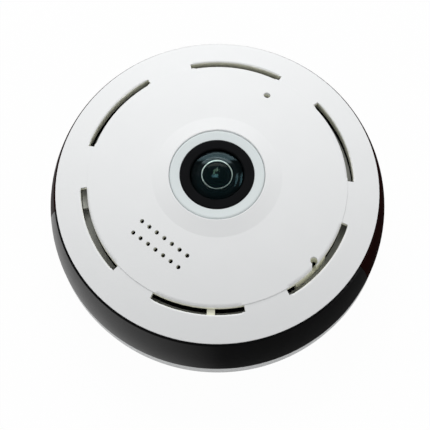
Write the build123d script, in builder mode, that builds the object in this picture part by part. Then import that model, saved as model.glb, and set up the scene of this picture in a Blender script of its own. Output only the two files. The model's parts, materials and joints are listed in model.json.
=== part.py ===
from build123d import *
from math import asin, copysign, cos, degrees, radians, sin, sqrt
import os

os.makedirs("parts", exist_ok=True)

# Millimetres. The lens axis is +Z, the ceiling face is z = 0, and the power inlet is on the +Y side.

# Casing outside, from the ceiling face upwards
bracket_h = 5.2
seam = 0.4
shell_rim_h = 4.1
band_h = 20.3
cover_gap = 0.4
cover_edge_h = 0.5
case_r = 58.9
bracket_foot_step = 3.5
bracket_rim_step = 1.1
bracket_belly = 0.4
shell_rim_step = 0.6
band_foot_step = 0.4
band_top_step = 1.95
shoulder_w = 0.75
shoulder_h = 0.45
waist_share = 0.44
cover_step = 2.65

# Clearances: between parts that are put together, close seats, and screws in their holes
fit = 0.2
snug = 0.1
thread_gap = 0.05
screw_gap = 0.15

# Domed cover
dome_r = 126.0
disc_margin = 11.25
disc_step = 0.25
cover_wall = 2.0
spigot_wall = 1.4
skirt_wall = 1.2
skirt_h = 2.1
slot_w = 2.2
slot_count = 6
slot_half_angle = 20.2
slot_start = 20.4
slot_bridge_wall = 1.4
rim_bulge = 0.6
slot_bridge_from = -95.4
slot_bridge_to = -92.0
slot_bridge_drop = 1.7
slot_outer_round_w = 0.9
slot_inner_round_w = 0.9
boss_flank_w = 5.85
boss_rise = 2.1
boss_lip_round = 0.4
edge_round = 0.35

# Side band and the deck inside it
band_wall = 2.6
deck_wall = 1.6
deck_drop = 3.0
deck_ledge = 5.7
vent_ring_w = 2.2
vent_ring_h = 1.7
ring_pad_from = -184.0
ring_pad_to = -172.0
ring_pad_drop = 3.6

# Dark windows let into the band, and the lamps behind them
window_angles = (5.75, 150.0)
window_half_angle = 35.0
window_slant = 9.0
window_wall = 1.3
window_proud_cut = 1.0
lamp_w = 3.5
lamp_d = 2.8
lamp_h = 1.9
lamp_cup_r = 1.05
lamp_cup_dip = 0.55
lamp_pitch = 6.2
lamp_count = 3
lamp_gap = 0.3
lamp_board_h = 10.6
lamp_board_wall = 1.0
lamp_board_edge = 2.05
aperture_edge = 0.85
aperture_h = 7.0
aperture_round = 1.5
guide_w = 3.0
guide_d = 4.0
guide_bite = 0.9

# Back shell and its screw columns
floor_wall = 2.0
floor_lift = 0.6
spigot_h = 3.8
shell_wall = 1.9
floor_rib_count = 8
floor_rib_start = 22.5
floor_rib_from = 35.0
floor_rib_wall = 1.4
floor_rib_h = 2.2
column_angles = (50.4, 170.4, -69.6)
column_wall = 1.0
column_top_wall = 4.5
column_web_w = 5.0
cover_boss_wall = 1.3
screw_r = 1.25
screw_bite = 5.0
head_r = 2.3
head_h = 1.8
head_gap = 0.3

# Bayonet between shell and bracket
plate_wall = 2.2
twist = 18.0
hook_count = 3
hook_start = 30.0
hook_r = 28.0
hook_wall = 2.0
hook_reach = 2.4
hook_half_angle = 6.0
hook_head_h = 1.6
hook_lift = 0.4
hook_side_gap = 0.4
hook_end_gap = 0.8
wall_hole_r = 2.25
wall_hole_pitch_r = 40.0
wall_hole_start = 90.0
wall_sink_r = 3.4

# Lens, from the trim ring inwards
trim_r = 16.35
trim_h = 2.2
trim_round = 0.7
trim_skirt_h = 3.0
trim_skirt_wall = 1.2
trim_dip = 0.15
collar_h = 6.0
collar_wall = 1.8
bezel_r = 12.65
bezel_rise = 0.25
bezel_h = 6.2
bezel_bevel = 0.3
bezel_skirt_wall = 1.75
lip_wall = 0.6
lip_gap = 0.15
glass_edge_r = 9.2
glass_rim_w = 0.65
glass_rim_h = 2.1
glass_front_r = 13.9
glass_back_r = 11.0
glass_seat_w = 1.45
element_r = 5.0
element_rise = 1.25
element_front_r = 7.4
element_back_r = 6.5
element_back_edge_r = 3.9
element_rim_h = 1.8
retainer_wall = 0.15
retainer_seat = 0.1
retainer_h = 0.5
turret_wall = 0.6
barrel_thread_r = 5.95
barrel_bore_r = 3.4
barrel_neck_l = 5.6
barrel_cone_h = 2.2
rear_glass_r = 4.2
rear_glass_h = 3.0

# Main board, the posts under it and what stands on it
board_wall = 1.6
board_lift = 4.3
board_gap = 3.3
board_tab_w = 16.0
board_notch_gap = 0.6
board_screw_l = 4.8
post_x = 31.0
post_y = 22.0
post_r = 3.2
chip_side = 14.0
chip_h = 1.2
sink_side = 24.0
sink_h = 4.6
sink_base_h = 1.4
sink_pitch = 2.7
sink_groove_w = 1.5
sink_groove_count = 8
memory_h = 1.1
memory_spots = ((22.0, 4.0, 9.0, 13.0), (22.5, -9.0, 6.0, 5.0))
module_x = -27.0
module_y = 6.0
module_w = 12.0
module_d = 16.0
module_wall = 0.8
can_edge = 0.8
can_d = 12.4
can_h = 1.5
aerial_plug_r = 1.1
aerial_plug_h = 0.9
antenna_edge = 3.6
antenna_w = 6.5
antenna_from_angle = -165.0
antenna_to_angle = -135.0
antenna_wall = 0.3
coil_spots = ((33.0, 9.0), (33.0, 1.5))
coil_side = 5.6
coil_h = 3.0
coil_core_r = 2.0
coil_core_h = 3.5
capacitor_places = ((14.6, 102.9), (13.6, 116.6))
capacitor_r = 3.15
capacitor_h = 7.4
capacitor_foot = 6.6
capacitor_foot_h = 0.8
plug_places = ((13.6, -122.8, 0.0), (21.1, 72.2, 0.0), (8.0, 0.0, 90.0), (9.1, 160.3, 60.0))
plug_w = 6.0
plug_d = 4.6
plug_h = 4.0
wire_r = 0.45
wire_rise = 2.5
wire_bend_r = 1.2

# Sensor board and lens holder
sensor_board_side = 38.0
sensor_board_round = 2.0
stand_edge = 3.5
stand_h = 7.9
stand_flats = 4.0
stand_stud_r = 1.0
holder_side = 20.0
holder_round = 1.5
holder_base_h = 4.4
holder_h = 10.0
holder_tube_wall = 2.5
holder_window = 7.6
holder_ear_reach = 2.4
holder_ear_r = 2.8
holder_ear_h = 2.0
filter_edge = 0.8
filter_wall = 0.6
sensor_w = 9.6
sensor_d = 8.2
sensor_h = 1.2
sensor_face_w = 6.8
sensor_face_d = 5.2
sensor_face_dip = 0.3
sensor_room = 1.8
sensor_headroom = 1.1
small_screw_r = 0.95
small_screw_l = 3.2
small_head_r = 1.9
small_head_h = 1.3
ribbon_w = 8.0
ribbon_wall = 0.3
ribbon_bend_r = 1.6
ribbon_socket_side = 1.5
ribbon_socket_d = 2.6
ribbon_socket_h = 1.3
ribbon_socket_edge = 3.0
ribbon_reach = 6.5

# Speaker and microphone under the cover
speaker_angle = -130.1
speaker_side_gap = 2.475
speaker_shift = 0.225
speaker_h = 5.0
speaker_rim_h = 1.8
speaker_edge_w = 1.7
speaker_basket_w = 4.1
speaker_cap_r = 5.0
speaker_cone_dip = 0.7
speaker_seat_drop = 0.6
speaker_cup_h = 3.0
speaker_cup_wall = 1.2
gasket_wall = 0.9
gasket_h = 0.8
speaker_hole_r = 0.75
speaker_hole_pitch = 3.31
speaker_row_gap = 4.9
speaker_holes_per_row = 7
mic_angle = 60.6
mic_inset = 8.3
mic_hole_r = 1.2
mic_r = 3.0
mic_h = 2.6
mic_port_dip = 0.65
mic_seat_drop = 0.2
mic_cup_h = 2.6
boot_wall = 1.2

# Keyhole and light sensor
notch_angle = -41.97
notch_inset = 1.49
notch_w = 1.35
notch_head_r = 1.25
notch_l = 4.2
key_wall = 1.2
key_wall_h = 2.8
light_wall_from = -54.5
light_wall_to = -36.0
light_wall = 1.4
light_sensor_r = 1.5
light_sensor_h = 3.4
light_sensor_lift = 0.6
lead_r = 0.25
lead_pitch = 1.3

# Power inlet, card slot and reset button on the band
inlet_w = 7.6
inlet_h = 2.7
inlet_d = 5.6
inlet_wall = 0.4
inlet_back_wall = 0.8
tongue_w = 3.8
tongue_h = 0.6
recess_depth = 4.9
recess_side = 1.95
recess_over = 2.35
recess_wall = 1.2
recess_round = 1.6
card_angle = 66.0
card_w = 14.0
card_d = 14.8
card_h = 1.9
card_wall = 0.4
card_back_wall = 1.0
card_slot_side = 0.7
card_mouth_gap = 1.0
card_scoop_w = 9.0
card_scoop_h = 6.4
card_scoop_d = 2.3
card_scoop_slope = 35.0
card_scoop_round = 2.9
button_angle = 106.0
button_r = 1.5
button_proud = 0.2
button_round = 0.3
button_flange_r = 2.4
button_flange_h = 1.2
button_gap = 0.45
switch_w = 6.0
switch_d = 3.6
switch_h = 4.2
switch_edge = 0.5
switch_stem_r = 1.2
switch_stem_l = 1.0

# Radii that follow
bracket_foot_r = case_r - bracket_foot_step
bracket_rim_r = case_r - bracket_rim_step
shell_rim_r = case_r - shell_rim_step
band_foot_r = case_r - band_foot_step
band_top_r = case_r - band_top_step
cover_r = case_r - cover_step
disc_r = cover_r - disc_margin
band_foot_in_r = band_foot_r - band_wall
band_top_in_r = band_top_r - shoulder_w - band_wall
spigot_r = band_top_in_r - fit
shell_spigot_r = band_foot_in_r - fit
shell_in_r = shell_spigot_r - shell_wall
board_r = shell_in_r - board_gap
ring_dome_r = dome_r - disc_step
under_dome_r = dome_r - cover_wall
slot_outer_r = disc_r + slot_w
vent_ring_r = slot_outer_r - fit - snug
deck_bore_r = slot_outer_r - deck_ledge
screw_hole_r = screw_r + screw_gap
pilot_r = screw_r + thread_gap
head_bore_r = head_r + head_gap
column_r = head_bore_r + column_wall
column_pitch_r = band_top_in_r - column_r - snug
cover_boss_r = pilot_r + cover_boss_wall
barrel_head_r = bezel_r - bezel_skirt_wall
bezel_lip_r = glass_edge_r + lip_gap
glass_r = glass_edge_r + glass_rim_w
retainer_r = element_r + retainer_seat
turret_r = retainer_r + snug + turret_wall
glass_back_edge_r = glass_r - glass_seat_w
trim_bore_r = bezel_r + fit
trim_skirt_r = trim_bore_r + trim_skirt_wall
trim_seat_r = trim_r + snug
collar_bore_r = trim_skirt_r + fit
collar_r = collar_bore_r + collar_wall
boss_foot_r = trim_seat_r + boss_flank_w
speaker_pitch_r = (disc_r + collar_r) / 2 + speaker_shift
speaker_r = (disc_r - collar_r) / 2 - speaker_side_gap
speaker_cone_r = speaker_r - speaker_edge_w
speaker_magnet_r = speaker_r - speaker_basket_w
mic_pitch_r = disc_r - mic_inset
light_sensor_pitch_r = disc_r - light_wall - light_sensor_r - fit
antenna_out_r = band_top_in_r - antenna_edge
antenna_in_r = antenna_out_r - antenna_w
lamp_board_r = band_top_in_r - lamp_gap - lamp_h
aperture_w = (lamp_count - 1) * lamp_pitch + lamp_w + 2 * aperture_edge
lamp_board_w = (lamp_count - 1) * lamp_pitch + lamp_w + 2 * lamp_board_edge
card_mouth_r = band_top_in_r - card_mouth_gap
switch_face_r = board_r - switch_edge
button_in_r = switch_face_r + switch_stem_l + button_gap
button_out_r = case_r + button_proud

# Heights that follow
shell_z = bracket_h + seam
band_z = shell_z + shell_rim_h
waist_z = band_z + band_h * waist_share
band_top_z = band_z + band_h
shoulder_z = band_top_z - shoulder_h
cover_z = band_top_z + cover_gap
dome_edge_z = cover_z + cover_edge_h
dome_z = dome_edge_z - sqrt(ring_dome_r ** 2 - cover_r ** 2)
deck_z = band_top_z - deck_drop
deck_under_z = deck_z - deck_wall
floor_z = shell_z + floor_lift
floor_top_z = floor_z + floor_wall
hook_head_z = floor_top_z + hook_lift
spigot_top_z = band_z + spigot_h
head_seat_z = deck_under_z - column_top_wall
board_z = floor_top_z + board_lift
board_top_z = board_z + board_wall
sensor_board_z = board_top_z + stand_h
sensor_board_top_z = sensor_board_z + board_wall
filter_z = sensor_board_top_z + sensor_h + sensor_headroom
holder_bore_z = sensor_board_top_z + holder_base_h
barrel_tail_z = holder_bore_z + 3 * fit
barrel_neck_z = barrel_tail_z + barrel_neck_l
lamp_z = deck_under_z - lamp_board_h / 2
light_sensor_z = deck_under_z + light_sensor_lift
inlet_mid_z = board_top_z + inlet_h / 2
card_mid_z = board_top_z + card_h / 2
button_z = board_top_z + switch_h / 2

# Sizes and places that follow
stand_pitch = sensor_board_side - 2 * stand_edge
holder_ear_x = holder_side / 2 + holder_ear_reach
filter_side = holder_window + 2 * filter_edge
sensor_socket_y = ribbon_socket_edge - sensor_board_side / 2
main_socket_y = -sensor_board_side / 2 - ribbon_reach
speaker_seat = cover_wall + speaker_seat_drop
speaker_top = speaker_seat + gasket_h
mic_seat = cover_wall + mic_seat_drop
mic_top = mic_seat + boot_wall
recess_w = inlet_w + 2 * recess_side
recess_h = inlet_h + 2 * recess_over
recess_floor_y = case_r - recess_depth
recess_back_y = recess_floor_y - recess_wall
inlet_face_y = recess_floor_y - snug
board_tab_y = recess_back_y - fit
shroud_w = recess_w + 2 * recess_wall
shroud_h = recess_h + 2 * recess_wall
card_slot_w = card_w - 2 * card_slot_side
card_slot_h = card_h + fit + snug
notch_x = (disc_r - notch_inset) * cos(radians(notch_angle))
notch_y = (disc_r - notch_inset) * sin(radians(notch_angle))


def dome_point(radius, sphere_r=dome_r):
    """Point of the profile on a sphere round the dome's centre."""
    return (radius, dome_z + sqrt(sphere_r ** 2 - radius ** 2))


def arc_height(sphere_r, radius):
    """Height of a spherical cap over its rim."""
    return sphere_r - sqrt(sphere_r ** 2 - radius ** 2)


boss_top_z = dome_point(boss_foot_r)[1] + boss_rise
trim_seat_z = boss_top_z - trim_h
bezel_top_z = boss_top_z + bezel_rise
bezel_z = bezel_top_z - bezel_h
glass_top_z = bezel_top_z - lip_wall
glass_z = glass_top_z - glass_rim_h
glass_apex_z = glass_top_z + arc_height(glass_front_r, glass_edge_r)
glass_hollow_z = glass_z + arc_height(glass_back_r, glass_back_edge_r)
element_top_z = glass_z + element_rise
element_z = element_top_z - element_rim_h
element_apex_z = element_top_z + arc_height(element_front_r, element_r)
element_hollow_z = element_z + arc_height(element_back_r, element_back_edge_r)
under_dome_z = dome_point(slot_outer_r + skirt_wall, under_dome_r)[1]
under_notch_z = dome_point(disc_r - notch_inset, under_dome_r)[1]
light_wall_z = deck_z + vent_ring_h + fit
slot_rim_z = dome_point(slot_outer_r)[1]

# The flange of the button rests on the tapered inside of the band
taper = (band_foot_in_r - band_top_in_r) / (deck_under_z - spigot_top_z - fit)
flange_wall_r = band_foot_in_r - taper * (button_z + button_flange_r - spigot_top_z - fit)
button_stop_r = sqrt(flange_wall_r ** 2 - button_flange_r ** 2) - snug


def on_dome(radius, angle, depth=0.0):
    """Plane square to the dome at a depth, its x axis along the circle of that radius."""
    tilt = asin(radius / dome_r)
    turn = radians(angle)
    normal = Vector(sin(tilt) * cos(turn), sin(tilt) * sin(turn), cos(tilt))
    origin = Vector(0, 0, dome_z) + normal * (dome_r - depth)
    return Plane(origin=origin, x_dir=(-sin(turn), cos(turn), 0), z_dir=normal)


def facing_out(radius, angle, height):
    """Upright plane that faces away from the lens axis, its x axis along the circle."""
    turn = radians(angle)
    origin = (radius * cos(turn), radius * sin(turn), height)
    return Plane(origin=origin, x_dir=(-sin(turn), cos(turn), 0), z_dir=(cos(turn), sin(turn), 0))


def arc_face(inner_r, outer_r, from_angle, to_angle):
    """Flat face between two circles and two radii."""
    size = to_angle - from_angle
    with BuildSketch() as face:
        with BuildLine():
            inner = CenterArc((0, 0), inner_r, from_angle, size)
            outer = CenterArc((0, 0), outer_r, from_angle, size)
            Line(inner @ 0, outer @ 0)
            Line(inner @ 1, outer @ 1)
        make_face()
    return face.sketch


# Mounting bracket: a shallow dish that is screwed to the ceiling, with three hooks
with BuildPart() as mount_bracket:
    with BuildSketch(Plane.XZ):
        with BuildLine():
            Line((0, 0), (bracket_foot_r, 0))
            belly = (bracket_rim_r - bracket_belly, bracket_h * waist_share)
            ThreePointArc((bracket_foot_r, 0), belly, (bracket_rim_r, bracket_h))
            Line((bracket_rim_r, bracket_h), (bracket_rim_r - plate_wall, bracket_h))
            Line((bracket_rim_r - plate_wall, bracket_h), (bracket_foot_r - plate_wall, plate_wall))
            Line((bracket_foot_r - plate_wall, plate_wall), (0, plate_wall))
            Line((0, plate_wall), (0, 0))
        make_face()
    revolve(axis=Axis.Z)
    with BuildSketch(Plane.XY.offset(plate_wall)):
        with PolarLocations(0, hook_count, start_angle=hook_start):
            add(arc_face(hook_r, hook_r + hook_wall, -hook_half_angle, hook_half_angle))
    extrude(amount=hook_head_z - plate_wall)
    with BuildSketch(Plane.XY.offset(hook_head_z)):
        with PolarLocations(0, hook_count, start_angle=hook_start):
            add(arc_face(hook_r, hook_r + hook_wall + hook_reach, -hook_half_angle, hook_half_angle))
    extrude(amount=hook_head_h)
    with Locations(Plane.XY.offset(plate_wall)):
        with PolarLocations(wall_hole_pitch_r, hook_count, start_angle=wall_hole_start):
            CounterSinkHole(wall_hole_r, wall_sink_r, depth=plate_wall)
mount_bracket.part.label = "mount_bracket"
export_step(mount_bracket.part, "parts/mount_bracket.step")


# Back shell: floor, white rim under the band, spigot inside it, columns, posts and ribs
with BuildPart() as back_shell:
    with BuildSketch(Plane.XZ):
        with BuildLine():
            Polyline(
                (0, floor_z),
                (shell_rim_r - shell_wall, floor_z),
                (shell_rim_r - shell_wall, shell_z),
                (shell_rim_r - edge_round, shell_z),
                (shell_rim_r, shell_z + edge_round),
                (shell_rim_r, band_z),
                (shell_spigot_r, band_z),
                (shell_spigot_r, spigot_top_z),
                (shell_in_r, spigot_top_z),
                (shell_in_r, floor_top_z),
                (0, floor_top_z),
                close=True,
            )
        make_face()
    revolve(axis=Axis.Z)
    with BuildSketch(Plane.XY.offset(floor_top_z)):
        with PolarLocations(0, floor_rib_count, start_angle=floor_rib_start):
            with Locations(((floor_rib_from + shell_spigot_r) / 2, 0)):
                Rectangle(shell_spigot_r - floor_rib_from, floor_rib_wall)
    extrude(amount=floor_rib_h)
    with BuildSketch(Plane.XY.offset(floor_top_z)):
        for angle in column_angles:
            with PolarLocations(column_pitch_r, 1, start_angle=angle):
                Circle(column_r)
    extrude(amount=deck_under_z - floor_top_z)
    with BuildSketch(Plane.XY.offset(floor_top_z)):
        for angle in column_angles:
            with PolarLocations((column_pitch_r + shell_spigot_r) / 2, 1, start_angle=angle):
                Rectangle(shell_spigot_r - column_pitch_r, column_web_w)
    extrude(amount=spigot_top_z - floor_top_z)
    with BuildSketch(Plane.XY.offset(floor_top_z)):
        with GridLocations(2 * post_x, 2 * post_y, 2, 2):
            Circle(post_r)
    extrude(amount=board_z - floor_top_z)
    with Locations(Plane.XY.offset(board_z)):
        with GridLocations(2 * post_x, 2 * post_y, 2, 2):
            Hole(pilot_r, depth=board_z - floor_top_z)
    with BuildSketch(Plane.XY.offset(floor_z)):
        for angle in column_angles:
            with PolarLocations(column_pitch_r, 1, start_angle=angle):
                Circle(head_bore_r)
    extrude(amount=head_seat_z - floor_z, mode=Mode.SUBTRACT)
    with BuildSketch(Plane.XY.offset(head_seat_z)):
        for angle in column_angles:
            with PolarLocations(column_pitch_r, 1, start_angle=angle):
                Circle(screw_hole_r)
    extrude(amount=column_top_wall, mode=Mode.SUBTRACT)
    neck_half = hook_half_angle + hook_end_gap
    slot_in_r = hook_r - hook_side_gap
    with BuildSketch(Plane.XY.offset(floor_z)):
        with PolarLocations(0, hook_count, start_angle=hook_start):
            add(arc_face(slot_in_r, hook_r + hook_wall + hook_side_gap, -twist - neck_half, neck_half))
        with PolarLocations(0, hook_count, start_angle=hook_start - twist):
            add(arc_face(slot_in_r, hook_r + hook_wall + hook_reach + hook_side_gap, -neck_half, neck_half))
    extrude(amount=floor_wall, mode=Mode.SUBTRACT)
    with Locations((0, recess_floor_y, inlet_mid_z)):
        Box(shroud_w + 2 * fit, 4 * shell_wall, shroud_h + 2 * fit, mode=Mode.SUBTRACT)
back_shell.part.label = "back_shell"
export_step(back_shell.part, "parts/back_shell.step")


def skin(depth):
    """Outline of the band's outside at a depth, from its foot round the shoulder to its top."""
    foot = (band_foot_r - depth, band_z)
    waist = (case_r - depth, waist_z)
    shoulder = (band_top_r - depth, shoulder_z)
    bend = (band_top_r - depth - shoulder_w * 0.42, shoulder_z + shoulder_h * 0.72)
    top = (band_top_r - depth - shoulder_w, band_top_z)
    return foot, waist, shoulder, bend, top


def window_body(angle, wall, proud, spare_angle):
    """Arc of the band's outer skin between two slanted ends, down to a depth."""
    with BuildPart() as body:
        with BuildSketch(Plane.XZ):
            with BuildLine():
                outer = skin(-proud)
                inner = skin(wall)
                ThreePointArc(*outer[:3])
                ThreePointArc(*outer[2:])
                Line(outer[4], inner[4])
                ThreePointArc(*reversed(inner[2:]))
                ThreePointArc(*reversed(inner[:3]))
                Line(inner[0], outer[0])
            make_face()
        revolve(axis=Axis.Z)
        lean = radians(window_slant)
        for side in (-1, 1):
            turn = radians(angle + side * (window_half_angle + spare_angle))
            inward = (side * sin(turn) * cos(lean), -side * cos(turn) * cos(lean), sin(lean))
            split(bisect_by=Plane(origin=(0, 0, band_z + band_h / 2), z_dir=inward), keep=Keep.TOP)
    return body.part


# Side band: black ring with a deck inside, and rebates for the dark windows
with BuildPart() as side_band:
    with BuildSketch(Plane.XZ):
        with BuildLine():
            outer = skin(0.0)
            ThreePointArc(*outer[:3])
            ThreePointArc(*outer[2:])
            Polyline(
                outer[4],
                (band_top_in_r, band_top_z),
                (band_top_in_r, deck_z),
                (deck_bore_r, deck_z),
                (deck_bore_r, deck_under_z),
                (band_top_in_r, deck_under_z),
                (band_foot_in_r, spigot_top_z + fit),
                (band_foot_in_r, band_z),
                outer[0],
            )
        make_face()
    revolve(axis=Axis.Z)
    guide_x = lamp_board_w / 2 - guide_bite + guide_w / 2
    guide_mid_z = deck_under_z - lamp_board_h / 2
    for angle in window_angles:
        add(window_body(angle, window_wall + snug, window_proud_cut, snug), mode=Mode.SUBTRACT)
        with BuildSketch(facing_out(lamp_board_r + lamp_gap, angle, lamp_z)):
            RectangleRounded(aperture_w, aperture_h, aperture_round)
        extrude(amount=case_r - lamp_board_r, mode=Mode.SUBTRACT)
        with BuildSketch(facing_out(lamp_board_r - (guide_d + lamp_board_wall) / 2, angle, guide_mid_z)):
            with GridLocations(2 * guide_x, 0, 2, 1):
                Rectangle(guide_w, lamp_board_h)
        extrude(amount=guide_d)
        with BuildSketch(facing_out(lamp_board_r - lamp_board_wall - snug, angle, guide_mid_z)):
            Rectangle(lamp_board_w + 2 * snug, lamp_board_h)
        extrude(amount=lamp_board_wall + 2 * snug, mode=Mode.SUBTRACT)
    with BuildSketch(Plane.XY.offset(deck_under_z)):
        for angle in column_angles:
            with PolarLocations(column_pitch_r, 1, start_angle=angle):
                Circle(screw_hole_r)
        with PolarLocations(light_sensor_pitch_r, 1, start_angle=notch_angle):
            Circle(light_sensor_r + 2 * fit)
    extrude(amount=deck_wall, mode=Mode.SUBTRACT)
    with BuildSketch(Plane.XZ.offset(-recess_back_y)):
        with Locations((0, inlet_mid_z)):
            Rectangle(shroud_w, shroud_h)
    extrude(amount=-(band_foot_r - recess_back_y - band_wall / 2))
    with BuildSketch(Plane.XZ.offset(-recess_floor_y)):
        with Locations((0, inlet_mid_z)):
            RectangleRounded(recess_w, recess_h, recess_round)
    extrude(amount=-recess_depth - button_proud, mode=Mode.SUBTRACT)
    with BuildSketch(Plane.XZ.offset(-recess_back_y)):
        with Locations((0, inlet_mid_z)):
            Rectangle(inlet_w + 2 * fit, inlet_h + 2 * fit)
    extrude(amount=-recess_wall, mode=Mode.SUBTRACT)
    with BuildSketch(facing_out(card_mouth_r, card_angle, card_mid_z)):
        Rectangle(card_slot_w, card_slot_h)
    extrude(amount=case_r + card_mouth_gap - card_mouth_r, mode=Mode.SUBTRACT)
    with BuildSketch(facing_out(case_r + fit, card_angle, card_mid_z)):
        RectangleRounded(card_scoop_w, card_scoop_h, card_scoop_round)
    extrude(amount=-card_scoop_d, taper=card_scoop_slope, mode=Mode.SUBTRACT)
    with BuildSketch(facing_out(band_top_in_r, button_angle, button_z)):
        Circle(button_r + snug)
    extrude(amount=button_out_r - band_top_in_r, mode=Mode.SUBTRACT)
side_band.part.label = "side_band"
export_step(side_band.part, "parts/side_band.step")


# Vent ring: pale ring on the deck under the slots, with a pad beside one screw column
with BuildPart() as vent_ring:
    with BuildSketch(Plane.XY.offset(deck_z)):
        Circle(vent_ring_r)
        Circle(vent_ring_r - vent_ring_w, mode=Mode.SUBTRACT)
    extrude(amount=vent_ring_h)
    with BuildSketch(Plane.XY.offset(deck_z)):
        add(arc_face(vent_ring_r - vent_ring_w, vent_ring_r, ring_pad_from, ring_pad_to))
    extrude(amount=slot_rim_z - ring_pad_drop - deck_z)
vent_ring.part.label = "vent_ring"
export_step(vent_ring.part, "parts/vent_ring.step")


# Infrared windows: two dark arcs flush with the band
with BuildPart() as ir_windows:
    for angle in window_angles:
        add(window_body(angle, window_wall, 0.0, 0.0))
ir_windows.part.label = "ir_windows"
export_step(ir_windows.part, "parts/ir_windows.step")


def rim_cutter(rim_r, reach, surface_r):
    """Sliver that rounds a slot's upper edge, this far along the dome, and runs out at the slot's ends."""
    rim = Vector(*dome_point(rim_r, surface_r))
    end = Vector(*dome_point(rim_r + reach, surface_r))
    drop = (end - rim).length
    foot = rim - Vector(0, drop)
    middle = rim + (foot + end - rim * 2) * (rim_bulge / 2)
    lean = asin(rim_r / surface_r)
    normal = Vector(sin(lean), cos(lean))
    pivot = rim - (end - rim) * (slot_w / 4 / drop)
    with BuildSketch() as profile:
        with BuildLine():
            ThreePointArc(foot, middle, end)
            Polyline(
                end,
                end + normal * cover_wall,
                pivot + normal * cover_wall,
                pivot - normal * (drop * cos(lean)),
                foot,
            )
        make_face()
    turn = slot_half_angle - degrees((slot_w / 4 + drop + snug) / rim_r)
    way = Vector(normal.X, 0, normal.Y) * copysign(1, reach)
    with BuildPart() as run_out:
        with BuildSketch(Plane.XZ):
            add(profile.sketch)
        revolve(axis=Axis((pivot.X, 0, pivot.Y), way), revolution_arc=90)
    with BuildPart() as cutter:
        with BuildSketch(Plane.XZ):
            add(profile.sketch)
        revolve(axis=Axis.Z, revolution_arc=turn)
        add(run_out.part.rotate(Axis.Z, turn))
        mirror(about=Plane.XZ)
    return cutter.part


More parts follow.
